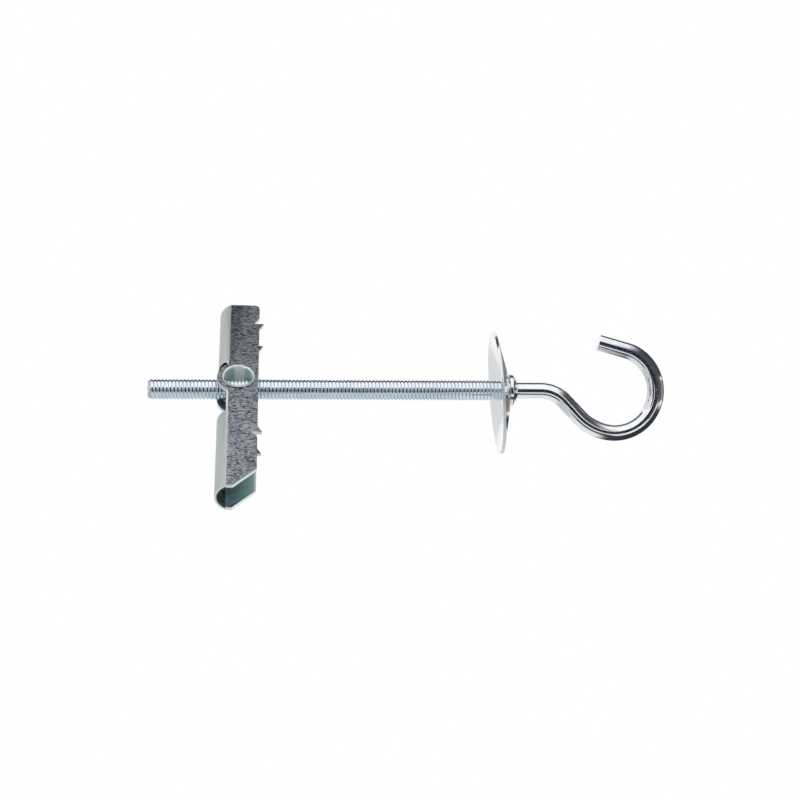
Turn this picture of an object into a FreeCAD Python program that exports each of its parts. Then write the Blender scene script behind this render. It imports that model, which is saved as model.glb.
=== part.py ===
# Ceiling swag hook with a gravity toggle, in millimetres, as it hangs in use.
# +Z runs up along the rod to the toggle. The origin is on the rod's axis, level with the washer's rim,
# where the ceiling is. The hook lies in the XZ plane, with its open mouth on the +X side.

import FreeCAD, Part
import math
import os
from types import SimpleNamespace

import Sketcher

SHEET_NAME = "sizes"

# An edge is picked for finishing if its centre, seen along Y, lies this close to the wanted place
EDGE_SEARCH_REACH = 0.05

# Driving dimensions, in millimetres and degrees
DIMENSIONS = {
    # Rod and collar
    "thread_dia": 4.0,
    "thread_length": 70.0,
    "thread_end_chamfer": 0.5,
    "wire_dia": 3.2,
    "collar_dia": 6.5,
    "collar_rim": 0.7,
    "collar_cone": 0.95,
    # Hook, measured on the middle line of the wire
    "bow_drop": 20.95,
    "bow_radius": 8.25,
    "bow_end_angle": 74.0,
    "heel_start_angle": 10.0,
    "heel_radius": 10.2,
    "swan_angle": 47.0,
    "swan_radius": 6.5,
    "tip_length": 5.7,
    "tip_chamfer": 0.25,
    # Dished washer
    "washer_dia": 24.0,
    "washer_sheet": 0.6,
    "washer_height": 2.25,
    "washer_flat_dia": 9.6,
    "washer_bore_clearance": 0.45,
    "washer_lean": 4.5,
    "washer_lean_turn": -23.0,
    "washer_shift": 0.25,
    "washer_gap": 0.05,
    # Trunnion nut
    "trunnion_dia": 5.8,
    "trunnion_wall": 0.35,
    "lip_dia": 6.2,
    "lip_thickness": 0.25,
    "lip_land": 0.15,
    "lip_clearance": 0.06,
    "pivot_clearance": 0.05,
    "thread_clearance": 0.05,
    # Toggle bar, measured from the pivot
    "pivot_height": 50.1,
    "toggle_turn": 225.0,
    "toggle_lean": 1.9,
    "bar_sheet": 0.8,
    "channel_width": 6.8,
    "edge_depth": 3.85,
    "bend_height": 1.75,
    "dome_rise": 2.13,
    "short_arm": 20.3,
    "short_arm_corner": 1.0,
    "long_arm": 28.4,
    "long_arm_tip_cut": 4.4,
    "ear_radius": 4.1,
    "slot_floor": 2.2,
    "slot_short_reach": 4.5,
    "slot_long_reach": 8.9,
    "short_tooth_reach": 15.0,
    "long_tooth_reach": 14.5,
    "tooth_height": 0.85,
    "tooth_ramp": 1.5,
    "notch_depth": 1.1,
    "notch_length": 1.7,
}


class Size:
    """A number together with the sheet formula that gives it."""

    def __init__(self, value, formula=None):
        self.value = value
        self.formula = formula or repr(value)

    def joined(self, sign, other, value):
        return Size(value, f"({self.formula} {sign} {other.formula})")

    def __add__(self, other):
        other = as_size(other)
        return self.joined("+", other, self.value + other.value)

    def __sub__(self, other):
        other = as_size(other)
        return self.joined("-", other, self.value - other.value)

    def __mul__(self, other):
        other = as_size(other)
        return self.joined("*", other, self.value * other.value)

    def __truediv__(self, other):
        other = as_size(other)
        return self.joined("/", other, self.value / other.value)

    def __neg__(self):
        return Size(-self.value, f"(-1 * {self.formula})")


CENTRED = Size(0.0)


def as_size(number):
    return number if isinstance(number, Size) else Size(float(number))


def sine(angle):
    return Size(math.sin(math.radians(angle.value)), f"sin({angle.formula} * 1 deg)")


def cosine(angle):
    return Size(math.cos(math.radians(angle.value)), f"cos({angle.formula} * 1 deg)")


def tangent(angle):
    return Size(math.tan(math.radians(angle.value)), f"tan({angle.formula} * 1 deg)")


def root(area):
    return Size(math.sqrt(area.value), f"sqrt({area.formula})")


def arc_radius(half_chord, rise):
    """Radius of the arc that rises by rise over a chord of twice half_chord."""
    return (half_chord * half_chord + rise * rise) / (rise * 2)


def make_sheet(doc):
    """Writes the driving dimensions into the sheet and returns them as sizes."""
    sheet = doc.addObject("Spreadsheet::Sheet", SHEET_NAME)
    sizes = {}
    for row, (alias, value) in enumerate(DIMENSIONS.items(), start=1):
        sheet.set(f"A{row}", alias)
        sheet.set(f"B{row}", str(value))
        sheet.setAlias(f"B{row}", alias)
        sizes[alias] = Size(value, f"{SHEET_NAME}.{alias}")
    return SimpleNamespace(**sizes)


def origin_plane(body, role):
    return next(feature for feature in body.Origin.OriginFeatures if feature.Role == role)


def make_sketch(body, name, role, offset=None):
    """A sketch on one of the body's origin planes, moved along the plane's normal by offset."""
    sketch = body.newObject("Sketcher::SketchObject", name)
    sketch.AttachmentSupport = [(origin_plane(body, role), "")]
    sketch.MapMode = "FlatFace"
    if offset is not None:
        sketch.setExpression("AttachmentOffset.Base.z", offset.formula)
    return sketch


def bind(sketch, kind, places, size):
    """Adds a dimension to the sketch and binds it to the sheet."""
    number = sketch.addConstraint(Sketcher.Constraint(kind, *places, size.value))
    sketch.setExpression(f"Constraints[{number}]", size.formula)


ROOT_POINT = (-1, 1)
# The axes that hold a point's X and Y at nought: the vertical one and the horizontal one
SKETCH_AXES = (-2, -1)


def pin_point(sketch, point, corner):
    """Holds a point of the sketch at a corner, given as two sizes; a plain 0 puts it on the axis."""
    for kind, axis, size in zip(("DistanceX", "DistanceY"), SKETCH_AXES, corner):
        if isinstance(size, Size):
            bind(sketch, kind, ROOT_POINT + point, size)
        else:
            sketch.addConstraint(Sketcher.Constraint("PointOnObject", *point, axis))


def arc_centre(start, end, radius, turn):
    """Centre of the short arc from start to end; turn is 1 for anticlockwise travel, -1 for clockwise."""
    chord = end - start
    middle = (start + end) * 0.5
    height = math.sqrt(max(radius**2 - (chord.Length / 2) ** 2, 0.0))
    normal = FreeCAD.Vector(-chord.y, chord.x, 0).normalize()
    return middle + normal * (height * turn)


def draw_chain(sketch, corners, arcs=None, closed=True):
    """Draws lines and arcs through the corners. arcs gives (radius, turn) by edge number."""
    arcs = arcs or {}
    points = [FreeCAD.Vector(as_size(x).value, as_size(y).value, 0) for x, y in corners]
    count = len(points) if closed else len(points) - 1
    ends = []
    for number in range(count):
        start = points[number]
        end = points[(number + 1) % len(points)]
        if number in arcs:
            radius, turn = arcs[number]
            centre = arc_centre(start, end, radius.value, turn)
            circle = Part.Circle(centre, FreeCAD.Vector(0, 0, 1), radius.value)
            first, last = (start, end) if turn > 0 else (end, start)
            angles = [math.atan2((p - centre).y, (p - centre).x) for p in (first, last)]
            edge = sketch.addGeometry(Part.ArcOfCircle(circle, *angles))
            ends.append(((edge, 1), (edge, 2)) if turn > 0 else ((edge, 2), (edge, 1)))
        else:
            edge = sketch.addGeometry(Part.LineSegment(start, end))
            ends.append(((edge, 1), (edge, 2)))
    for number in range(count if closed else count - 1):
        following = (number + 1) % count
        sketch.addConstraint(Sketcher.Constraint("Coincident", *ends[number][1], *ends[following][0]))
    for number in range(count):
        pin_point(sketch, ends[number][0], corners[number])
        if number in arcs:
            bind(sketch, "Radius", (ends[number][0][0],), arcs[number][0])
    if not closed:
        pin_point(sketch, ends[-1][1], corners[-1])


def draw_circle(sketch, radius):
    """A circle about the sketch's origin."""
    circle = Part.Circle(FreeCAD.Vector(0, 0, 0), FreeCAD.Vector(0, 0, 1), radius.value)
    edge = sketch.addGeometry(circle)
    sketch.addConstraint(Sketcher.Constraint("Coincident", edge, 3, *ROOT_POINT))
    bind(sketch, "Radius", (edge,), radius)


def revolve(body, name, sketch, axis):
    feature = body.newObject("PartDesign::Revolution", name)
    feature.Profile = sketch
    feature.ReferenceAxis = (sketch, [axis])
    feature.Angle = 360.0
    return feature


def cut_through(body, name, sketch, side, reversed_way=False):
    """Cuts the sketch through everything on the given side and makes sure that it cut something."""
    before = body.Tip.Shape.Volume
    feature = body.newObject("PartDesign::Pocket", name)
    feature.Profile = sketch
    feature.Type = "ThroughAll"
    feature.SideType = side
    feature.Reversed = reversed_way
    body.Document.recompute()
    if not feature.Shape.Volume < before:
        raise RuntimeError(f"{name} cut nothing")
    return feature


def edges_at(shape, x, z):
    """Names of the shape's edges whose centres lie at x and z, seen along Y."""
    names = []
    for number, edge in enumerate(shape.Edges, start=1):
        centre = edge.CenterOfMass
        if math.hypot(centre.x - x.value, centre.z - z.value) < EDGE_SEARCH_REACH:
            names.append(f"Edge{number}")
    if not names:
        raise RuntimeError("no edge found to finish")
    return names


def collar_seat(size):
    """Height of the collar's flat face, which the leaning washer touches at one side of the collar."""
    lean_lift = size.collar_dia / 2 * tangent(size.washer_lean)
    return -(size.washer_height * cosine(size.washer_lean) + lean_lift + size.washer_gap)


def hook_path(size, seat):
    """Corners and arcs of the wire's middle line, from inside the collar to the tip of the hook."""
    bow_height = seat - size.bow_drop
    heel_shift = size.heel_radius - size.bow_radius
    heel_end_x = heel_shift * cosine(size.heel_start_angle) - size.heel_radius * cosine(size.swan_angle)
    heel_end_z = (bow_height - heel_shift * sine(size.heel_start_angle)
                  + size.heel_radius * sine(size.swan_angle))
    crossing = heel_end_z - heel_end_x / tangent(size.swan_angle)
    swan_tangent = size.swan_radius * tangent(size.swan_angle / 2)
    bow_end_x = size.bow_radius * sine(size.bow_end_angle)
    bow_end_z = bow_height - size.bow_radius * cosine(size.bow_end_angle)
    corners = [
        (0, seat),
        (0, crossing + swan_tangent),
        (-(swan_tangent * sine(size.swan_angle)), crossing - swan_tangent * cosine(size.swan_angle)),
        (heel_end_x, heel_end_z),
        (-(size.bow_radius * cosine(size.heel_start_angle)),
         bow_height + size.bow_radius * sine(size.heel_start_angle)),
        (bow_end_x, bow_end_z),
        (bow_end_x + size.tip_length * cosine(size.bow_end_angle),
         bow_end_z + size.tip_length * sine(size.bow_end_angle)),
    ]
    arcs = {
        1: (size.swan_radius, -1),
        3: (size.heel_radius, 1),
        4: (size.bow_radius, 1),
    }
    return corners, arcs


def make_hook_rod(doc, size):
    """One wire: the bent hook, the upset collar and the stretch that carries the thread."""
    body = doc.addObject("PartDesign::Body", "hook_rod")
    seat = collar_seat(size)
    wire_radius = size.wire_dia / 2
    thread_radius = size.thread_dia / 2
    free_end = seat + size.thread_length
    rim_low = seat - size.collar_rim

    shank = make_sketch(body, "shank_profile", "XZ_Plane")
    draw_chain(shank, [
        (0, rim_low - size.collar_cone),
        (wire_radius, rim_low - size.collar_cone),
        (size.collar_dia / 2, rim_low),
        (size.collar_dia / 2, seat),
        (thread_radius, seat),
        (thread_radius, free_end - size.thread_end_chamfer),
        (thread_radius - size.thread_end_chamfer, free_end),
        (0, free_end),
    ])
    revolve(body, "shank", shank, "V_Axis")

    section = make_sketch(body, "wire_section", "XY_Plane", seat)
    draw_circle(section, wire_radius)
    path = make_sketch(body, "wire_path", "XZ_Plane")
    corners, arcs = hook_path(size, seat)
    draw_chain(path, corners, arcs, closed=False)
    doc.recompute()
    wire = body.newObject("PartDesign::AdditivePipe", "bent_wire")
    wire.Profile = section
    wire.Spine = (path, [f"Edge{number}" for number in range(1, len(corners))])
    doc.recompute()

    finish = body.newObject("PartDesign::Chamfer", "tip_edge")
    finish.Base = (wire, edges_at(wire.Shape, *corners[-1]))
    finish.setExpression("Size", size.tip_chamfer.formula)
    return body


def place_on_rod(body, height, turn, lean, shift):
    """Leans a piece so that its +X side rises, turns it about the rod, lifts it and shifts it along X."""
    turned = f"rotation({turn.formula}; {(-lean).formula}; 0)"
    place = f"vector({shift.formula}; 0; {height.formula})"
    body.setExpression("Placement", f"placement({place}; {turned})")


def make_washer(doc, size):
    """A dished washer, open side up, leaning on the collar as a loose washer does."""
    body = doc.addObject("PartDesign::Body", "washer")
    bore = size.thread_dia / 2 + size.washer_bore_clearance
    flat = size.washer_flat_dia / 2
    rim = size.washer_dia / 2
    dish_rise = size.washer_height - size.washer_sheet
    dish_run = rim - flat
    dish_slope = root(dish_run * dish_run + dish_rise * dish_rise)
    # The sheet keeps its thickness across the slope, and its cut edge stands square to the slope
    edge_in = size.washer_sheet * dish_rise / dish_slope
    edge_up = size.washer_sheet * dish_run / dish_slope
    bend_in = size.washer_sheet * (dish_slope - dish_run) / dish_rise
    profile = make_sketch(body, "washer_profile", "XZ_Plane")
    draw_chain(profile, [
        (bore, 0),
        (flat, 0),
        (rim, dish_rise),
        (rim - edge_in, dish_rise + edge_up),
        (flat - bend_in, size.washer_sheet),
        (bore, size.washer_sheet),
    ])
    revolve(body, "dish", profile, "V_Axis")
    lean_lift = size.collar_dia / 2 * tangent(size.washer_lean)
    rest = collar_seat(size) + lean_lift + size.washer_gap
    place_on_rod(body, rest, size.washer_lean_turn, size.washer_lean, -size.washer_shift)
    return body


def make_trunnion_nut(doc, size):
    """A tube with flared lips along Y, tapped across along Z for the rod's thread."""
    body = doc.addObject("PartDesign::Body", "trunnion_nut")
    outside = size.trunnion_dia / 2
    bore = outside - size.trunnion_wall
    lip = size.lip_dia / 2
    mouth = lip - size.lip_land
    flare = mouth - bore
    lip_face = size.channel_width / 2 + size.lip_clearance
    end = lip_face + size.lip_thickness
    profile = make_sketch(body, "tube_profile", "YZ_Plane")
    draw_chain(
        profile,
        [
            (-end, lip),
            (-end, mouth),
            (flare - end, bore),
            (end - flare, bore),
            (end, mouth),
            (end, lip),
            (lip_face, lip),
            (lip_face, outside),
            (-lip_face, outside),
            (-lip_face, lip),
        ],
        {1: (flare, 1), 3: (flare, 1)},
    )
    revolve(body, "flared_tube", profile, "H_Axis")
    doc.recompute()
    tapping = make_sketch(body, "tapped_hole_outline", "XY_Plane")
    draw_circle(tapping, size.thread_dia / 2 + size.thread_clearance)
    cut_through(body, "tapped_hole", tapping, "Symmetric")
    place_on_rod(body, size.pivot_height, size.toggle_turn, CENTRED, CENTRED)
    return body


def make_toggle_bar(doc, size):
    """A strip folded into a channel with a domed spine: long arm along X, pivot along Y, spine up."""
    body = doc.addObject("PartDesign::Body", "toggle_bar")
    outside = size.channel_width / 2
    inside = outside - size.bar_sheet
    edge = -size.edge_depth
    dome = arc_radius(outside, size.dome_rise)
    inner_dome = dome - size.bar_sheet
    dome_centre = size.bend_height + size.dome_rise - dome
    inner_bend = dome_centre + root(inner_dome * inner_dome - inside * inside)

    section = make_sketch(body, "channel_section", "YZ_Plane")
    draw_chain(
        section,
        [
            (-outside, edge),
            (-outside, size.bend_height),
            (outside, size.bend_height),
            (outside, edge),
            (inside, edge),
            (inside, inner_bend),
            (-inside, inner_bend),
            (-inside, edge),
        ],
        {1: (dome, -1), 5: (inner_dome, 1)},
    )
    channel = body.newObject("PartDesign::Pad", "channel")
    channel.Profile = section
    channel.SideType = "Two sides"
    channel.setExpression("Length", size.long_arm.formula)
    channel.setExpression("Length2", size.short_arm.formula)
    doc.recompute()

    slot = make_sketch(body, "slot_outline", "XY_Plane", size.slot_floor)
    slot_side = outside + size.bar_sheet
    draw_chain(slot, [
        (-size.slot_short_reach, slot_side),
        (-size.slot_short_reach, -slot_side),
        (size.slot_long_reach, -slot_side),
        (size.slot_long_reach, slot_side),
    ])
    doc.recompute()
    cut_through(body, "slot", slot, "One side", reversed_way=True)

    wall = make_sketch(body, "ear_and_teeth_outline", "XZ_Plane", outside)
    ear_foot = edge / 2
    draw_chain(
        wall,
        [
            (size.ear_radius, ear_foot),
            (size.ear_radius, 0),
            (0, size.ear_radius),
            (-size.ear_radius, 0),
            (-size.ear_radius, ear_foot),
        ],
        {1: (size.ear_radius, 1), 2: (size.ear_radius, 1)},
    )
    tooth_places = [(size.long_tooth_reach, 1), (size.short_tooth_reach, -1)]
    for reach, side in tooth_places:
        tooth_face = reach * side
        tooth_heel = (reach - size.tooth_ramp) * side
        tooth_root = edge + size.bar_sheet
        tooth_tip = edge - size.tooth_height
        draw_chain(wall, [
            (tooth_face, tooth_root),
            (tooth_face, tooth_tip),
            (tooth_heel, edge),
            (tooth_heel, tooth_root),
        ])
    ears = body.newObject("PartDesign::Pad", "ear_and_teeth")
    ears.Profile = wall
    ears.Reversed = True
    ears.setExpression("Length", size.bar_sheet.formula)
    doc.recompute()
    both = body.newObject("PartDesign::Mirrored", "both_walls")
    both.Originals = [ears]
    both.MirrorPlane = (origin_plane(body, "XZ_Plane"), [""])
    body.Tip = both
    doc.recompute()

    cuts = make_sketch(body, "pivot_and_edge_cuts", "XZ_Plane")
    draw_circle(cuts, size.trunnion_dia / 2 + size.pivot_clearance)
    beyond = edge - size.tooth_height
    for reach, side in tooth_places:
        notch_face = reach * side
        notch_end = (reach + size.notch_length) * side
        draw_chain(cuts, [
            (notch_face, edge + size.notch_depth),
            (notch_face, beyond),
            (notch_end, beyond),
            (notch_end, edge),
        ])
    tip_reach = size.long_arm + size.bar_sheet
    draw_chain(cuts, [
        (size.long_arm - size.long_arm_tip_cut - size.bar_sheet, edge - size.bar_sheet),
        (tip_reach, edge - size.bar_sheet),
        (tip_reach, edge + size.long_arm_tip_cut + size.bar_sheet),
    ])
    doc.recompute()
    trimmed = cut_through(body, "pivot_holes_and_notches", cuts, "Symmetric")

    finish = body.newObject("PartDesign::Fillet", "short_arm_corners")
    finish.Base = (trimmed, edges_at(trimmed.Shape, -size.short_arm, edge))
    finish.setExpression("Radius", size.short_arm_corner.formula)
    place_on_rod(body, size.pivot_height, size.toggle_turn, size.toggle_lean, CENTRED)
    return body


def check(doc, bodies):
    """Stops if any object failed or any sub-part is not one valid solid."""
    for item in doc.Objects:
        if "Invalid" in item.State or "Error" in item.State:
            raise RuntimeError(f"{item.Name} failed: {item.State}")
    for body in bodies:
        shape = body.Shape
        if shape.isNull() or not shape.isValid() or len(shape.Solids) != 1:
            raise RuntimeError(f"{body.Label} is not one valid solid")


def main():
    doc = FreeCAD.newDocument("swag_hook")
    size = make_sheet(doc)
    doc.recompute()
    bodies = [make(doc, size) for make in (make_hook_rod, make_washer, make_trunnion_nut, make_toggle_bar)]
    doc.recompute()
    check(doc, bodies)
    os.makedirs("parts", exist_ok=True)
    for body in bodies:
        body.Shape.exportStep(f"parts/{body.Label}.step")
        print(body.Label, round(body.Shape.Volume, 2), "mm3", body.Shape.BoundBox)


main()
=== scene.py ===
"""Looks of a ceiling swag hook with a gravity toggle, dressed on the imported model. Sizes are in metres."""

import math

import bmesh
import bpy
from mathutils import Matrix, Vector


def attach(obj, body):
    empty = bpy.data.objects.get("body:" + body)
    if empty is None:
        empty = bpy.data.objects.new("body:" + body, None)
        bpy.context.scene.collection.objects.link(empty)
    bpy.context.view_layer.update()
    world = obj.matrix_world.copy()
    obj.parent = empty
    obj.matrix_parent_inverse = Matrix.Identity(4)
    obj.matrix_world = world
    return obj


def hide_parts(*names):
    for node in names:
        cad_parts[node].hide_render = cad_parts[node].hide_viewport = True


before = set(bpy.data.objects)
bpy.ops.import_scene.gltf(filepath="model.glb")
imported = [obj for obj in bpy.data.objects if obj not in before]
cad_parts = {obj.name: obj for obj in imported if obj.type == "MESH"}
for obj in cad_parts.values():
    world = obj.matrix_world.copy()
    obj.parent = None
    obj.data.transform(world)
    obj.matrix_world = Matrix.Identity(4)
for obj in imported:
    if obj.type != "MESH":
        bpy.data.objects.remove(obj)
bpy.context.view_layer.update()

MM = 0.001

# Dished washer, as in the solids. Angles are in degrees
WASHER_RADIUS = 12.0 * MM
WASHER_SHEET = 0.6 * MM
WASHER_HEIGHT = 2.25 * MM
WASHER_FLAT = 4.8 * MM
WASHER_BORE = 2.45 * MM
WASHER_LEAN = 4.5
WASHER_TURN = -23.0
WASHER_SHIFT = -0.25 * MM
WASHER_GAP = 0.05 * MM
WASHER_REST = -WASHER_HEIGHT * math.cos(math.radians(WASHER_LEAN))

# Rod and collar, as in the solids, with the grooves of the thread. The washer leans on the collar's seat
THREAD_RADIUS = 2.0 * MM
THREAD_ROOT_RADIUS = 1.80 * MM
THREAD_PITCH = 0.7 * MM
THREAD_LENGTH = 70.0 * MM
THREAD_CHAMFER = 0.5 * MM
WIRE_RADIUS = 1.6 * MM
COLLAR_RADIUS = 3.25 * MM
COLLAR_RIM = 0.7 * MM
COLLAR_CONE = 0.95 * MM
SEAT = WASHER_REST - COLLAR_RADIUS * math.tan(math.radians(WASHER_LEAN)) - WASHER_GAP

# Hook, measured on the middle line of the wire
BOW_DROP = 20.95 * MM
BOW_RADIUS = 8.25 * MM
BOW_END_ANGLE = 74.0
HEEL_START_ANGLE = 10.0
HEEL_RADIUS = 10.2 * MM
SWAN_ANGLE = 47.0
SWAN_RADIUS = 6.5 * MM
TIP_LENGTH = 5.7 * MM
TIP_CHAMFER = 0.25 * MM
BOW_CENTRE = Vector((0.0, 0.0, SEAT - BOW_DROP))

# Toggle, measured from its pivot
PIVOT = Vector((0.0, 0.0, 50.1)) * MM
TOGGLE_TURN = 225.0
TOGGLE_LEAN = 1.9
BAR_OUTSIDE = 3.4 * MM
BAR_SHEET = 0.8 * MM
BEND_HEIGHT = 1.75 * MM
DOME_RISE = 2.13 * MM
EDGE_DEPTH = 3.85 * MM
SLOT_SHORT_REACH = 4.5 * MM
SLOT_LONG_REACH = 8.9 * MM
TUBE_BORE = 2.55 * MM

# Rounding of sharp edges
COLLAR_TOP_EDGE = 0.15 * MM
COLLAR_LOW_EDGE = 0.3 * MM
WASHER_EDGE = 0.12 * MM
WASHER_OUTER_BEND = 6.0 * MM
WASHER_INNER_BEND = 5.0 * MM
BAR_EDGE = 0.09 * MM
TUBE_EDGE = 0.05 * MM

# Colours of the wire and the washer
WIRE_LIGHT = (0.95, 0.96, 0.97)
WIRE_DARK = (0.86, 0.87, 0.90)
THREAD_LIGHT = (0.91, 0.955, 0.995)
THREAD_DARK = (0.81, 0.87, 0.93)
# Painted shade in the roots of the thread
THREAD_ROOT_SHADE = (0.24, 0.34, 0.46)
WASHER_LIGHT = (0.90, 0.91, 0.92)
WASHER_DARK = (0.85, 0.86, 0.87)

# Colours of the toggle bar, outside and inside
GRAIN_DARK = (0.048, 0.055, 0.071)
GRAIN_LIGHT = (0.52, 0.56, 0.62)
WALL_STREAK = (0.48, 0.50, 0.53)
# Painted shade on the short arm
SHORT_ARM_SHADE = (0.09, 0.10, 0.13)
# Painted highlight on the spine, with drawn marks
SPINE_HIGHLIGHT_DARK = (0.61, 0.645, 0.63)
SPINE_HIGHLIGHT_LIGHT = (0.71, 0.735, 0.715)
# Bare sheared steel, painted near-white partly as a highlight
SHEARED_EDGE_HIGHLIGHT = (0.93, 0.94, 0.95)
# The inside of the walls: painted shade, with painted light towards the open edge
SHADED_LINING_DARK = (0.10, 0.17, 0.19)
SHADED_LINING_LIGHT = (0.22, 0.33, 0.35)
LIT_LINING_PALE = (0.42, 0.60, 0.61)
LINING_EDGE_HIGHLIGHT = (0.80, 0.86, 0.86)
TEETH_SHADE = (0.12, 0.14, 0.12)
# Painted shade inside the dome
DOME_SHADE_DARK = (0.012, 0.018, 0.02)
DOME_SHADE_LIGHT = (0.12, 0.17, 0.18)
SLOT_SHADE = (0.01, 0.015, 0.015)

# Colours of the trunnion's tube
TUBE_LIGHT = (0.84, 0.86, 0.86)
TUBE_DARK = (0.66, 0.70, 0.70)
TUBE_LINING = (0.44, 0.61, 0.59)
# Painted highlight inside the tube
TUBE_HIGHLIGHT_BAND = (1.0, 0.98, 1.0)

BLACK = (0.0, 0.0, 0.0)
WHITE = (1.0, 1.0, 1.0)


class Socket:
    """An output of a node tree that takes part in arithmetic by adding nodes."""

    def __init__(self, tree, socket):
        self.tree = tree
        self.socket = socket

    def node(self, kind, inputs=None, output=0, **settings):
        """Adds any node, feeds its inputs by name or number and returns one of its outputs."""
        node = self.tree.nodes.new(kind)
        for setting, value in settings.items():
            setattr(node, setting, value)
        for place, value in (inputs or {}).items():
            feed(self.tree, node.inputs[place], value)
        return Socket(self.tree, node.outputs[output])

    def math(self, operation, *values):
        return self.node("ShaderNodeMath", dict(enumerate(values)), operation=operation)

    def __add__(self, other):
        return self.math("ADD", self, other)

    def __radd__(self, other):
        return self.math("ADD", other, self)

    def __sub__(self, other):
        return self.math("SUBTRACT", self, other)

    def __rsub__(self, other):
        return self.math("SUBTRACT", other, self)

    def __mul__(self, other):
        return self.math("MULTIPLY", self, other)

    def __rmul__(self, other):
        return self.math("MULTIPLY", other, self)

    def __truediv__(self, other):
        return self.math("DIVIDE", self, other)

    def __abs__(self):
        return self.math("ABSOLUTE", self)

    def parts(self):
        """The three numbers of a vector."""
        node = self.tree.nodes.new("ShaderNodeSeparateXYZ")
        self.tree.links.new(self.socket, node.inputs[0])
        return [Socket(self.tree, output) for output in node.outputs]

    def vector(self, x, y, z):
        return self.node("ShaderNodeCombineXYZ", {0: x, 1: y, 2: z})

    def minus(self, point):
        """This vector, measured from a point."""
        return self.node("ShaderNodeVectorMath", {0: self, 1: point}, operation="SUBTRACT")

    def dot(self, direction):
        return self.node("ShaderNodeVectorMath", {0: self, 1: direction}, "Value", operation="DOT_PRODUCT")

    def hypotenuse(self, other):
        return self.math("SQRT", self * self + other * other)

    def step(self, low, high, low_value=0.0, high_value=1.0):
        """Runs smoothly from low_value to high_value as this number goes from low to high."""
        values = {
            "Value": self, "From Min": low, "From Max": high, "To Min": low_value, "To Max": high_value,
        }
        return self.node("ShaderNodeMapRange", values, interpolation_type="SMOOTHSTEP")

    def noise(self, scale, detail=4.0, roughness=0.6):
        values = {"Vector": self, "Scale": scale, "Detail": detail, "Roughness": roughness}
        return self.node("ShaderNodeTexNoise", values)

    def tint(self, first, second):
        """A colour that goes from first to second as this number goes from 0 to 1."""
        node = self.tree.nodes.new("ShaderNodeMix")
        node.data_type = "RGBA"
        feed(self.tree, node.inputs["Factor"], self)
        for name, colour in (("A", first), ("B", second)):
            place = next(socket for socket in node.inputs if socket.name == name and socket.type == "RGBA")
            feed(self.tree, place, colour if isinstance(colour, Socket) else (*colour, 1.0))
        return Socket(self.tree, next(socket for socket in node.outputs if socket.type == "RGBA"))

    def bump(self, strength, distance):
        return self.node("ShaderNodeBump", {"Height": self, "Strength": strength, "Distance": distance})


def feed(tree, place, value):
    """Links a socket, or sets a plain value."""
    if isinstance(value, Socket):
        tree.links.new(value.socket, place)
    else:
        place.default_value = value


def find_node(tree, kind):
    """The first node of a kind."""
    return next(node for node in tree.nodes if node.type == kind)


def object_place(tree):
    """The socket of a material's Object coordinates."""
    return Socket(tree, tree.nodes.new("ShaderNodeTexCoord").outputs["Object"])


def new_material(name):
    """An empty metal and the socket of its Object coordinates."""
    material = bpy.data.materials.new(name)
    material.use_nodes = True
    shader = find_node(material.node_tree, "BSDF_PRINCIPLED")
    shader.inputs["Metallic"].default_value = 1.0
    return material, shader, object_place(material.node_tree)


def dress(shader, place, **inputs):
    """Feeds the named inputs of the shader."""
    for name, value in inputs.items():
        feed(place.tree, shader.inputs[name.replace("_", " ").title()], value)


def wire_material():
    """Bright zinc on drawn wire, bluer on the thread, with painted shade darkening the thread's roots."""
    material, shader, place = new_material("bright_zinc_wire")
    x, y, z = place.parts()
    seat_blur = 0.1 * MM
    on_thread = z.step(SEAT - seat_blur, SEAT + seat_blur)
    # Painted shade: the colour darkens towards the roots of the thread
    root_shade = on_thread * x.hypotenuse(y).step(THREAD_RADIUS * 0.97, THREAD_ROOT_RADIUS * 1.02)
    cloud = place.noise(420.0)
    cloudy = cloud.step(0.35, 0.7)
    grain = place.noise(5200.0, 3.0, 0.7)
    metal = on_thread.tint(cloudy.tint(WIRE_LIGHT, WIRE_DARK), cloudy.tint(THREAD_LIGHT, THREAD_DARK))
    dress(
        shader, place,
        base_color=(root_shade * 0.35).tint(metal, THREAD_ROOT_SHADE),
        roughness=0.08 + 0.08 * cloud + 0.03 * on_thread,
        normal=grain.bump(0.12, 0.02 * MM),
    )
    return material


def washer_material():
    """Bright zinc on pressed sheet, with faint turning marks about the washer's axis and a duller rim."""
    material, shader, place = new_material("bright_zinc_washer")
    x, y, z = place.parts()
    radius = (x - WASHER_SHIFT).hypotenuse(y)
    rim = radius.step(WASHER_RADIUS - 0.25 * MM, WASHER_RADIUS - 0.10 * MM)
    rings = place.vector(radius * 9000.0, z * 400.0, 0.0).noise(1.0, 3.0, 0.6)
    cloud = place.noise(260.0)
    dress(
        shader, place,
        base_color=cloud.step(0.3, 0.75).tint(WASHER_LIGHT, WASHER_DARK),
        metallic=1.0 - 0.55 * rim,
        roughness=0.12 + 0.04 * cloud + 0.03 * rings + 0.3 * rim,
        normal=rings.bump(0.04, 0.02 * MM),
    )
    return material


def toggle_offset(place):
    """Distances from the pivot along the long arm, along the pivot's axis and up the spine."""
    turn = Matrix.Rotation(math.radians(TOGGLE_TURN), 3, "Z")
    lean = Matrix.Rotation(math.radians(-TOGGLE_LEAN), 3, "Y")
    offset = place.minus(PIVOT)
    return [offset.dot(axis) for axis in (turn @ lean).transposed()]


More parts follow.
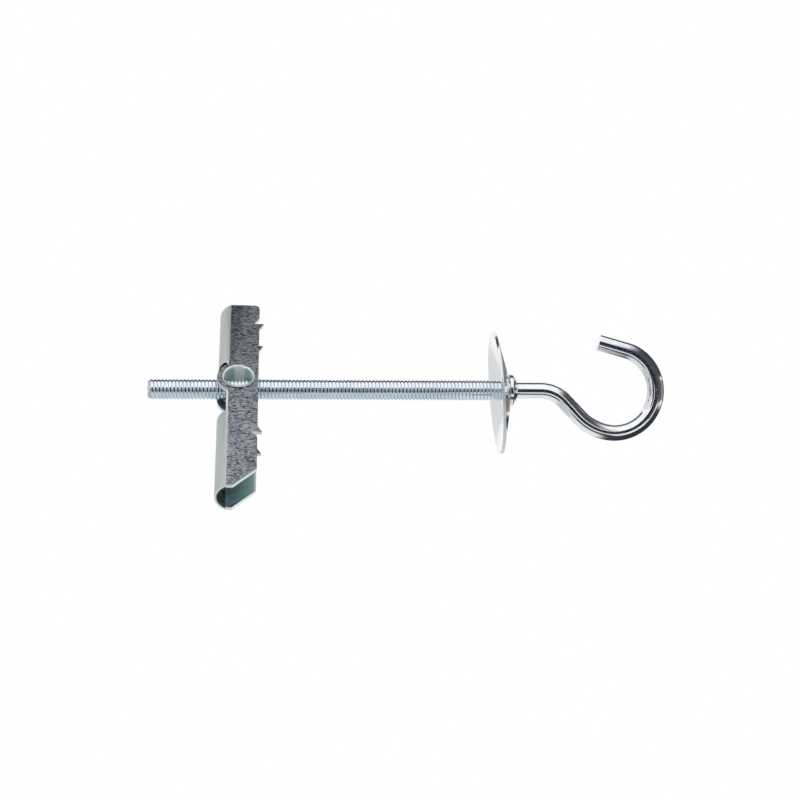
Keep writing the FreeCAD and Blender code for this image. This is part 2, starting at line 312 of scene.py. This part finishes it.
def sheet_regions(along, across, up):
    """Masks of the bar: its slot, its dome, its inside and its cut edges."""
    blur = 0.1 * MM
    half_sheet = BAR_SHEET / 2
    skin_start = 0.30 * MM
    skin_end = 0.36 * MM
    dome_radius = (BAR_OUTSIDE**2 + DOME_RISE**2) / (2 * DOME_RISE)
    rise = up - (BEND_HEIGHT + DOME_RISE - dome_radius)
    dome_depth = across.hypotenuse(rise) - (dome_radius - half_sheet)
    wall_depth = abs(across) - (BAR_OUTSIDE - half_sheet)
    past_slot_start = along.step(-SLOT_SHORT_REACH - blur, -SLOT_SHORT_REACH)
    before_slot_end = along.step(SLOT_LONG_REACH + blur, SLOT_LONG_REACH)
    in_slot = past_slot_start * before_slot_end
    on_dome = up.step(BEND_HEIGHT - blur / 2, BEND_HEIGHT + blur / 2) * (1.0 - in_slot)
    depth = on_dome * dome_depth + (1.0 - on_dome) * wall_depth
    outside = depth.step(skin_start, skin_end)
    # On the dome the inside starts at the middle of the sheet, so the inner half of the cut edge takes the
    # inside's painted shade
    dome_inside = dome_depth.step(blur / 2, -blur / 2)
    wall_inside = wall_depth.step(-skin_start, -skin_end)
    inside = on_dome * dome_inside + (1.0 - on_dome) * wall_inside
    cut_edge = (1.0 - outside) * (1.0 - inside)
    return in_slot, on_dome, inside, cut_edge


def wall_lining(mottle, up):
    """The inside of the walls in painted shade: dark teal, with painted light making it paler and then
    near-white towards the open edge, and painted shade on the teeth.
    """
    pale_top = 0.5 * MM
    pale_bottom = -3.5 * MM
    edge_top = -EDGE_DEPTH + 0.65 * MM
    edge_bottom = -EDGE_DEPTH + 0.05 * MM
    tooth_top = -EDGE_DEPTH - 0.03 * MM
    tooth_full = -EDGE_DEPTH - 0.07 * MM
    lining = mottle.step(0.3, 0.7).tint(SHADED_LINING_DARK, SHADED_LINING_LIGHT)
    lining = up.step(pale_top, pale_bottom, 0.0, 0.7).tint(lining, LIT_LINING_PALE)
    lining = up.step(edge_top, edge_bottom).tint(lining, LINING_EDGE_HIGHLIGHT)
    return up.step(tooth_top, tooth_full).tint(lining, TEETH_SHADE)


def sheet_material():
    """Dull zinc on rolled sheet: grained walls, a spine painted light as a highlight, a short arm and an
    inside darkened by painted shade, and sheared edges painted bright, partly as a highlight.
    """
    material, shader, place = new_material("dull_zinc_sheet")
    along, across, up = toggle_offset(place)
    in_slot, on_dome, inside, cut_edge = sheet_regions(along, across, up)
    grain = place.vector(along * 4200.0, across * 4200.0, up * 1500.0).noise(1.0, 4.0, 0.8)
    streaks = place.vector(across * 2200.0 + along * 1500.0, up * 600.0, 0.0).noise(1.0, 4.0, 0.7)
    drawn = place.vector(across * 3500.0, up * 3500.0, along * 120.0).noise(1.0, 3.0, 0.6)
    mottle = place.noise(700.0, 4.0, 0.65)

    wall = grain.step(0.41, 0.60).tint(GRAIN_DARK, GRAIN_LIGHT)
    wall = streaks.step(0.46, 0.70, 0.0, 0.7).tint(wall, WALL_STREAK)
    # Painted shade: the walls darken towards the short arm
    wall = along.step(2.0 * MM, -6.0 * MM, 0.0, 0.24).tint(wall, SHORT_ARM_SHADE)
    # Painted highlight: the spine is coloured light grey, as if lit
    spine = drawn.step(0.3, 0.7).tint(SPINE_HIGHLIGHT_DARK, SPINE_HIGHLIGHT_LIGHT)
    # Painted shade: the inside of the dome is nearly black, with faint streaks
    dome_shade = streaks.step(0.40, 0.65).tint(DOME_SHADE_DARK, DOME_SHADE_LIGHT)
    lining = on_dome.tint(wall_lining(mottle, up), dome_shade)
    shade = in_slot * along.step(-1.0 * MM, -2.5 * MM) * up.step(1.0 * MM, 1.6 * MM)
    lining = shade.tint(lining, SLOT_SHADE)
    colour = inside.tint(on_dome.tint(wall, spine), lining)
    # The cut edges are bare steel, less metallic and painted near-white, partly as a highlight
    dress(
        shader, place,
        base_color=cut_edge.tint(colour, SHEARED_EDGE_HIGHLIGHT),
        metallic=1.0 - 0.6 * cut_edge,
        roughness=0.34 + 0.16 * grain + 0.14 * on_dome,
        normal=(grain + 0.6 * mottle).bump(0.40, 0.03 * MM),
    )
    return material


def nut_material():
    """Zinc on the trunnion's tube: a bright lip, and a teal tinge inside with a painted highlight band."""
    material, shader, place = new_material("bright_zinc_nut")
    along, _, up = toggle_offset(place)
    hollow = along.hypotenuse(up).step(TUBE_BORE + 0.20 * MM, TUBE_BORE + 0.05 * MM)
    # Painted highlight: a near-white band along the tube's inner wall
    band_middle = -0.2 * MM
    band = abs(up - band_middle).step(1.15 * MM, 0.85 * MM)
    cloud = place.noise(900.0)
    grain = place.noise(4200.0, 3.0, 0.7)
    metal = cloud.step(0.35, 0.7).tint(TUBE_LIGHT, TUBE_DARK)
    dress(
        shader, place,
        base_color=hollow.tint(metal, band.tint(TUBE_LINING, TUBE_HIGHLIGHT_BAND)),
        metallic=1.0 - 0.85 * hollow,
        roughness=0.16 + 0.12 * cloud + 0.10 * hollow,
        normal=grain.bump(0.12, 0.02 * MM),
    )
    return material


def new_object(name, data):
    """A new object in the scene."""
    item = bpy.data.objects.new(name, data)
    bpy.context.scene.collection.objects.link(item)
    return item


def finished_mesh(name, form):
    """A mesh of a form, which is freed."""
    mesh = bpy.data.meshes.new(name)
    form.to_mesh(mesh)
    form.free()
    return mesh


def new_tree(name, inputs):
    """An empty geometry tree with these named inputs, given as name and socket type."""
    tree = bpy.data.node_groups.new(name, "GeometryNodeTree")
    tree.interface.new_socket("Geometry", in_out="OUTPUT", socket_type="NodeSocketGeometry")
    items = {
        label: tree.interface.new_socket(label, in_out="INPUT", socket_type=kind)
        for label, kind in inputs.items()
    }
    group = tree.nodes.new("NodeGroupInput")
    values = {label: Socket(tree, group.outputs[label]) for label in inputs}
    return tree, items, values


def end_tree(tree, geometry, material):
    """Realizes the geometry, gives it smooth shading and its material, and ends the tree."""
    real = geometry.node("GeometryNodeRealizeInstances", {0: geometry})
    smooth = real.node("GeometryNodeSetShadeSmooth", {"Geometry": real})
    dressed = smooth.node("GeometryNodeSetMaterial", {"Geometry": smooth, "Material": material})
    tree.links.new(dressed.socket, tree.nodes.new("NodeGroupOutput").inputs[0])


def converted(data, tree, items, values):
    """The mesh that the tree makes of an object with this data and these input values."""
    carrier = new_object("carrier", data)
    modifier = carrier.modifiers.new("tree", "NODES")
    modifier.node_group = tree
    for label, value in values.items():
        modifier[items[label].identifier] = value
    bpy.context.view_layer.update()
    depsgraph = bpy.context.evaluated_depsgraph_get()
    mesh = bpy.data.meshes.new_from_object(carrier.evaluated_get(depsgraph), depsgraph=depsgraph)
    carrier.modifiers.clear()
    bpy.data.objects.remove(carrier)
    return mesh


def thread_mesh(material):
    """A rolled thread: a sheet of rows that follow the helix, wrapped round the rod."""
    number = "NodeSocketFloat"
    count = "NodeSocketInt"
    tree, items, size = new_tree("rolled_thread", {
        "Start": number, "End": number, "Pitch": number, "Crest": number, "Root": number, "Chamfer": number,
        "Segments": count, "Rows": count,
    })
    start = size["Start"]
    end_radius = size["Crest"] - size["Chamfer"]
    flank_share = 0.45
    merge_distance = 0.002 * MM
    grid = start.node("GeometryNodeMeshGrid", {
        "Size X": 1.0, "Size Y": 1.0, "Vertices X": size["Segments"] + 1, "Vertices Y": size["Rows"],
    })
    x, y, _ = start.node("GeometryNodeInputPosition").parts()
    round_share = x + 0.5
    along = start - size["Pitch"] + (y + 0.5) * (size["End"] - start + 2.0 * size["Pitch"])
    height = along + size["Pitch"] * round_share
    height = start.math("MINIMUM", start.math("MAXIMUM", height, start), size["End"])
    saw = start.math("FRACT", (along - start) / size["Pitch"] + 2.0)
    flank = abs(saw * 2.0 - 1.0)
    flank = flank.node("ShaderNodeMapRange", {"Value": flank, "From Min": 0.0, "From Max": flank_share})
    radius = size["Root"] + (size["Crest"] - size["Root"]) * flank
    radius = start.math("MINIMUM", radius, end_radius + size["End"] - height)
    turn = round_share * math.tau
    place = start.vector(radius * start.math("COSINE", turn), radius * start.math("SINE", turn), height)
    skin = start.node("GeometryNodeSetPosition", {"Geometry": grid, "Position": place})
    disc = {"Vertices": size["Segments"], "Radius": end_radius}
    cap = start.node("GeometryNodeMeshCircle", disc, fill_type="NGON")
    cap_place = start.vector(0.0, 0.0, size["End"])
    cap = cap.node("GeometryNodeTransform", {"Geometry": cap, "Translation": cap_place})
    join = tree.nodes.new("GeometryNodeJoinGeometry")
    for piece in (cap, skin):
        tree.links.new(piece.socket, join.inputs[0])
    joined = Socket(tree, join.outputs[0])
    merged = joined.node("GeometryNodeMergeByDistance", {"Geometry": joined, "Distance": merge_distance})
    end_tree(tree, merged, material)
    turns = round(THREAD_LENGTH / THREAD_PITCH)
    rows_per_turn = 16
    return converted(bpy.data.meshes.new("thread"), tree, items, {
        "Start": SEAT, "End": SEAT + THREAD_LENGTH, "Pitch": THREAD_PITCH, "Crest": THREAD_RADIUS,
        "Root": THREAD_ROOT_RADIUS, "Chamfer": THREAD_CHAMFER, "Segments": 30,
        "Rows": rows_per_turn * (turns + 2) + 1,
    })


class Walk:
    """A line that grows by straight runs and bends. Its heading is in degrees."""

    def __init__(self, start, heading):
        self.points = [start]
        self.heading = heading

    def run(self, length):
        angle = math.radians(self.heading)
        way = Vector((math.cos(angle), math.sin(angle)))
        self.points.append(self.points[-1] + way * length)

    def bend(self, radius, turn):
        """Follows an arc by short chords, to the left where the turn is positive."""
        largest_part = 3.0
        count = math.ceil(abs(turn) / largest_part)
        part = turn / count
        chord = 2 * radius * math.sin(math.radians(abs(part)) / 2)
        for _ in range(count):
            self.heading += part / 2
            self.run(chord)
            self.heading += part / 2


def hook_line():
    """Points of the wire's middle line in X and Z from the collar to the tip, with the bow below the rod."""
    swan = math.radians(SWAN_ANGLE)
    heel = math.radians(HEEL_START_ANGLE)
    swan_shift = SWAN_RADIUS * (1.0 - math.cos(swan))
    heel_shift = HEEL_RADIUS * (math.cos(heel) - math.cos(swan))
    slant = (BOW_RADIUS * math.cos(heel) - heel_shift - swan_shift) / math.sin(swan)
    swan_drop = SWAN_RADIUS * math.sin(swan)
    slant_drop = slant * math.cos(swan)
    heel_drop = HEEL_RADIUS * (math.sin(swan) - math.sin(heel))
    bow_start_drop = BOW_DROP - BOW_RADIUS * math.sin(heel)
    line = Walk(Vector((0.0, SEAT)), -90.0)
    line.run(bow_start_drop - heel_drop - slant_drop - swan_drop)
    line.bend(SWAN_RADIUS, -SWAN_ANGLE)
    line.run(slant)
    line.bend(HEEL_RADIUS, SWAN_ANGLE - HEEL_START_ANGLE)
    line.bend(BOW_RADIUS, HEEL_START_ANGLE + 90.0 + BOW_END_ANGLE)
    line.run(TIP_LENGTH)
    return line.points


def wire_mesh(material):
    """The bent wire, swept along its middle line, with a small chamfer at the tip."""
    points = hook_line()
    last_run = (points[-1] - points[-2]).normalized()
    points.insert(-1, points[-1] - last_run * TIP_CHAMFER)
    curve = bpy.data.curves.new("hook_line", "CURVE")
    curve.dimensions = "3D"
    spline = curve.splines.new("POLY")
    spline.points.add(len(points) - 1)
    for target, point in zip(spline.points, points):
        target.co = (point.x, 0.0, point.y, 1.0)
        target.radius = 1.0
    spline.points[-1].radius = 1.0 - TIP_CHAMFER / WIRE_RADIUS
    tree, items, size = new_tree("swept_wire", {
        "Geometry": "NodeSocketGeometry", "Radius": "NodeSocketFloat", "Sides": "NodeSocketInt",
    })
    profile = size["Radius"].node("GeometryNodeCurvePrimitiveCircle", {
        "Resolution": size["Sides"], "Radius": size["Radius"],
    })
    sweep = profile.node("GeometryNodeCurveToMesh", {
        "Curve": size["Geometry"], "Profile Curve": profile, "Fill Caps": True,
    })
    end_tree(tree, sweep, material)
    return converted(curve, tree, items, {"Radius": WIRE_RADIUS, "Sides": 56})


def rounded(corners, radii, steps=5):
    """A closed outline with its corners rounded, each by its own radius or what its sides leave room for."""
    largest_share = 0.49
    outline = []
    for number, (corner, radius) in enumerate(zip(corners, radii)):
        if radius <= 0:
            outline.append(Vector(corner))
            continue
        before = Vector(corners[number - 1]) - Vector(corner)
        after = Vector(corners[(number + 1) % len(corners)]) - Vector(corner)
        half = before.angle(after) / 2
        reach = min(radius / math.tan(half), before.length * largest_share, after.length * largest_share)
        first = Vector(corner) + before.normalized() * reach
        last = Vector(corner) + after.normalized() * reach
        for step in range(steps + 1):
            share = step / steps
            near = first.lerp(Vector(corner), share)
            far = Vector(corner).lerp(last, share)
            outline.append(near.lerp(far, share))
    return outline


def lathe(name, outline, segments):
    """A closed outline of radius and height, turned about Z."""
    form = bmesh.new()
    rings = []
    for number in range(segments):
        turn = math.tau * number / segments
        cosine = math.cos(turn)
        sine = math.sin(turn)
        rings.append([form.verts.new((point.x * cosine, point.x * sine, point.y)) for point in outline])
    for number in range(segments):
        ring = rings[number]
        following = rings[(number + 1) % segments]
        for place in range(len(outline)):
            ahead = (place + 1) % len(outline)
            form.faces.new((ring[place], following[place], following[ahead], ring[ahead]))
    bmesh.ops.recalc_face_normals(form, faces=form.faces)
    return finished_mesh(name, form)


def collar_mesh():
    """The upset collar: a rim and a cone with worn corners, which ends inside the wire."""
    low = SEAT - COLLAR_RIM
    inner = WIRE_RADIUS * 0.6
    cone_end = WIRE_RADIUS * 0.98
    corners = [
        (inner, SEAT), (COLLAR_RADIUS, SEAT), (COLLAR_RADIUS, low),
        (cone_end, low - COLLAR_CONE), (inner, low - COLLAR_CONE),
    ]
    return lathe("collar", rounded(corners, [0, COLLAR_TOP_EDGE, COLLAR_LOW_EDGE, 0, 0]), segments=96)


def washer_mesh():
    """The dished washer, softly bent and leaning on the collar."""
    dish_rise = WASHER_HEIGHT - WASHER_SHEET
    dish_run = WASHER_RADIUS - WASHER_FLAT
    slope = math.hypot(dish_rise, dish_run)
    edge_in = WASHER_SHEET * dish_rise / slope
    edge_up = WASHER_SHEET * dish_run / slope
    bend_in = WASHER_SHEET * (slope - dish_run) / dish_rise
    corners = [
        (WASHER_BORE, 0.0), (WASHER_FLAT, 0.0), (WASHER_RADIUS, dish_rise),
        (WASHER_RADIUS - edge_in, dish_rise + edge_up), (WASHER_FLAT - bend_in, WASHER_SHEET),
        (WASHER_BORE, WASHER_SHEET),
    ]
    radii = [WASHER_EDGE, WASHER_OUTER_BEND, WASHER_EDGE, WASHER_EDGE, WASHER_INNER_BEND, WASHER_EDGE]
    mesh = lathe("dished_washer", rounded(corners, radii), segments=160)
    place = Matrix.Translation((WASHER_SHIFT, 0.0, WASHER_REST))
    turn = Matrix.Rotation(math.radians(WASHER_TURN), 4, "Z")
    lean = Matrix.Rotation(math.radians(-WASHER_LEAN), 4, "Y")
    mesh.transform(place @ turn @ lean)
    return mesh


def joined_mesh(name, meshes):
    """One mesh of several."""
    form = bmesh.new()
    for mesh in meshes:
        form.from_mesh(mesh)
    return finished_mesh(name, form)


def softened_copy(node, name, width):
    """A copy of a CAD node's mesh with its sharp edges rounded."""
    merge_distance = 0.0005 * MM
    flat_angle = math.radians(0.5)
    sharp_angle = math.radians(35)
    form = bmesh.new()
    form.from_mesh(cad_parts[node].data)
    bmesh.ops.remove_doubles(form, verts=form.verts, dist=merge_distance)
    bmesh.ops.dissolve_limit(form, angle_limit=flat_angle, verts=form.verts, edges=form.edges)
    sharp = [edge for edge in form.edges if edge.is_manifold and edge.calc_face_angle() > sharp_angle]
    bmesh.ops.bevel(
        form, geom=sharp, offset=width, offset_type="OFFSET", segments=2, profile=0.5, affect="EDGES",
        clamp_overlap=True,
    )
    return finished_mesh(name, form)


def add_piece(name, mesh, material, node, body, sharp_angle):
    """Puts a dressed mesh in the scene in place of a CAD node."""
    mesh.materials.clear()
    mesh.materials.append(material)
    mesh.shade_smooth()
    mesh.set_sharp_from_angle(angle=math.radians(sharp_angle))
    piece = new_object(name, mesh)
    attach(piece, body)
    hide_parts(node)


def build_pieces():
    """The four dressed pieces. The last number of each is the angle from which an edge looks sharp."""
    wire = wire_material()
    rod = joined_mesh("hook_wire", [thread_mesh(wire), wire_mesh(wire), collar_mesh()])
    add_piece("hook_wire", rod, wire, "hook_rod", "hook", 50)
    dish = washer_mesh()
    add_piece("dished_washer", dish, washer_material(), "washer", "washer", 60)
    bar = softened_copy("toggle_bar", "folded_bar", BAR_EDGE)
    add_piece("folded_bar", bar, sheet_material(), "toggle_bar", "toggle", 25)
    tube = softened_copy("trunnion_nut", "flared_tube", TUBE_EDGE)
    add_piece("flared_tube", tube, nut_material(), "trunnion_nut", "trunnion", 30)


def stage_material(name, colour, glow):
    """A dull surface of the stage that also glows."""
    material = bpy.data.materials.new(name)
    material.use_nodes = True
    shader = find_node(material.node_tree, "BSDF_PRINCIPLED")
    shader.inputs["Base Color"].default_value = (*colour, 1.0)
    shader.inputs["Roughness"].default_value = 1.0
    shader.inputs["Specular IOR Level"].default_value = 0.0
    shader.inputs["Emission Color"].default_value = (*glow, 1.0)
    shader.inputs["Emission Strength"].default_value = 1.0
    return material


def stage_mesh(name, form, material):
    """Puts a form on the stage and frees it."""
    mesh = finished_mesh(name, form)
    mesh.materials.append(material)
    piece = new_object(name, mesh)
    return piece


def studio_card(name, form, material):
    """Puts a card on the stage that the camera doesn't see and that casts no shadow."""
    shade = stage_mesh(name, form, material)
    shade.visible_camera = False
    shade.visible_shadow = False


def card_side(turn):
    """The direction at a turn round the camera's axis, anticlockwise from the picture's right."""
    return Vector((math.sin(turn), 0.0, -math.cos(turn)))


def fade_card(material, centre, low_turn, high_turn, low_fade, high_fade):
    """Makes a card clear towards its low and high turn, over these angles."""
    smallest_fade = 0.1
    low_blur = math.radians(max(low_fade, smallest_fade))
    high_blur = math.radians(max(high_fade, smallest_fade))
    middle = math.radians(low_turn + high_turn) / 2
    half = math.radians(high_turn - low_turn) / 2
    tree = material.node_tree
    way = object_place(tree).minus(centre)
    ahead = way.dot(card_side(middle))
    aside = way.dot(card_side(middle + math.pi / 2))
    turn = way.math("ARCTAN2", aside, ahead)
    solid = turn.step(-half, -half + low_blur) * turn.step(half, half - high_blur)
    feed(tree, find_node(tree, "BSDF_PRINCIPLED").inputs["Alpha"], solid)


def card(name, centre, reach, near, far, low_turn, high_turn, glow, low_fade=0.0, high_fade=0.0):
    """A studio card on a sphere about a centre, between two angles from the camera's side of that centre."""
    steps = 16
    form = bmesh.new()
    grid = []
    for row in range(steps + 1):
        angle = math.radians(near + (far - near) * row / steps)
        line = []
        for column in range(steps + 1):
            turn = math.radians(low_turn + (high_turn - low_turn) * column / steps)
            way = card_side(turn) * math.sin(angle) - Vector((0.0, math.cos(angle), 0.0))
            line.append(form.verts.new(centre + way * reach))
        grid.append(line)
    for near_line, far_line in zip(grid, grid[1:]):
        for column in range(steps):
            ahead = column + 1
            form.faces.new((near_line[column], near_line[ahead], far_line[ahead], far_line[column]))
    material = stage_material(name, BLACK, glow)
    if low_fade or high_fade:
        fade_card(material, centre, low_turn, high_turn, low_fade, high_fade)
    studio_card(name, form, material)


# Studio cards by name: angles from the camera's side, turns from the picture's right, glow, and soft ends
WIDE_CARDS = {
    "card_camera": (1, 21, 0, 359, (0.015, 0.02, 0.03)),
    "card_under_camera": (21, 36, 195, 345, (0.02, 0.03, 0.055)),
    "card_below": (36, 160, 200, 290, (0.54, 0.61, 0.63)),
    "card_left": (62, 165, 140, 200, (0.74, 0.75, 0.77)),
    "card_above": (95, 129, 48, 134, (0.03, 0.03, 0.04)),
}
# Smaller cards round the bow, which the thread hardly sees
BOW_CARDS = {
    "card_bow_light": (30, 42, 225, 330, (0.85, 0.85, 0.86)),
    "card_bow_left": (21, 40, 145, 215, (0.05, 0.055, 0.075)),
    "card_bow_far_left": (40, 52, 165, 198, (0.06, 0.065, 0.09)),
    "card_bow_right": (21, 38, -30, 14, (0.05, 0.05, 0.06)),
    "card_bow_mid_right": (38, 80, -12, 14, (0.10, 0.10, 0.11)),
    "card_bow_far_right": (80, 108, -10, 12, (0.34, 0.34, 0.34)),
    "card_bow_behind_right": (108, 168, -34, 34, (0.05, 0.045, 0.045)),
    "card_bow_above": (21, 75, 14, 68, (0.07, 0.07, 0.09), 0, 20),
    "card_bow_far_above": (75, 150, 14, 68, (0.05, 0.05, 0.06), 0, 20),
    "card_bow_top": (93, 112, 68, 125, (0.05, 0.05, 0.06)),
    "card_bow_below": (50, 150, -84, -6, (0.03, 0.035, 0.04), 0, 16),
}
LOW_CARDS = {
    "card_low_below": (43, 150, -105, -83, (0.04, 0.04, 0.045), 14, 0),
}
UNDER_CARDS = {
    "card_low_shank": (48, 66, -134, -92, (0.05, 0.05, 0.06)),
    "card_low_white": (66, 150, -134, -92, (0.80, 0.80, 0.82)),
}
# Each set of cards with the centre and radius of its sphere
CARD_SETS = (
    (WIDE_CARDS, Vector(), 800 * MM),
    (BOW_CARDS, BOW_CENTRE, 60 * MM),
    (LOW_CARDS, BOW_CENTRE, 38 * MM),
    (UNDER_CARDS, BOW_CENTRE, 40 * MM),
)

# Small plates behind the washer, which its domed side mirrors: lowest and highest X in millimetres, and glow
WASHER_PLATES = {
    "plate_high": (3.0, 12.0, (0.22, 0.22, 0.22)),
    "plate_middle": (-5.0, 3.0, (0.26, 0.20, 0.17)),
    "plate_low": (-9.5, -6.0, (0.03, 0.03, 0.03)),
}
PLATE_BEHIND = 50.0 * MM
PLATE_LOWEST_Z = -32.0 * MM
PLATE_HIGHEST_Z = -9.0 * MM

FLOOR_RADIUS = 300.0 * MM
FLOOR_HEIGHT = -600.0 * MM
FLOOR_COLOUR = (0.9, 0.9, 0.9)
FLOOR_GLOW = (0.95, 0.95, 0.95)


def plate(name, low, high, glow):
    """A studio card behind the washer, square to the camera's side."""
    form = bmesh.new()
    places = [
        (low * MM, PLATE_LOWEST_Z), (high * MM, PLATE_LOWEST_Z),
        (high * MM, PLATE_HIGHEST_Z), (low * MM, PLATE_HIGHEST_Z),
    ]
    form.faces.new([form.verts.new((x, PLATE_BEHIND, z)) for x, z in places])
    studio_card(name, form, stage_material(name, BLACK, glow))


def build_stage():
    """A white surround, a pale floor far below the hook and the studio cards."""
    world = bpy.data.worlds.new("white_studio")
    bpy.context.scene.world = world
    world.use_nodes = True
    surround = find_node(world.node_tree, "BACKGROUND")
    surround.inputs["Color"].default_value = (*WHITE, 1.0)
    surround.inputs["Strength"].default_value = 1.0

    form = bmesh.new()
    bmesh.ops.create_circle(form, cap_ends=True, segments=96, radius=FLOOR_RADIUS)
    bmesh.ops.translate(form, verts=form.verts, vec=(0.0, 0.0, FLOOR_HEIGHT))
    stage_mesh("floor", form, stage_material("pale_floor", FLOOR_COLOUR, FLOOR_GLOW))
    for cards, centre, reach in CARD_SETS:
        for name, settings in cards.items():
            card(name, centre, reach, *settings)
    for name, settings in WASHER_PLATES.items():
        plate(name, *settings)


def build_camera():
    """The photograph's camera: the rod lies across the picture, with the toggle on the left."""
    picture_pixels = 800.0
    focal_pixels = 2264.0
    aim = Vector((-1.97, 0.0, 18.7)) * MM
    distance = 440.0 * MM
    tilt = math.radians(5.4)
    roll = math.radians(-0.2)
    back = Vector((0.0, -math.cos(tilt), math.sin(tilt)))
    right = Vector((0.0, -math.sin(tilt), -math.cos(tilt)))
    up = Vector((1.0, 0.0, 0.0))
    turned_right = right * math.cos(roll) - up * math.sin(roll)
    turned_up = right * math.sin(roll) + up * math.cos(roll)
    data = bpy.data.cameras.new("camera")
    data.sensor_width = 36.0
    data.lens = focal_pixels / picture_pixels * data.sensor_width
    data.clip_start = 0.01
    camera = new_object("camera", data)
    turn = Matrix((turned_right, turned_up, back)).transposed().to_4x4()
    camera.matrix_world = Matrix.Translation(aim + back * distance) @ turn
    bpy.context.scene.camera = camera
    bpy.context.scene.view_settings.view_transform = "Standard"


build_pieces()
build_stage()
build_camera()
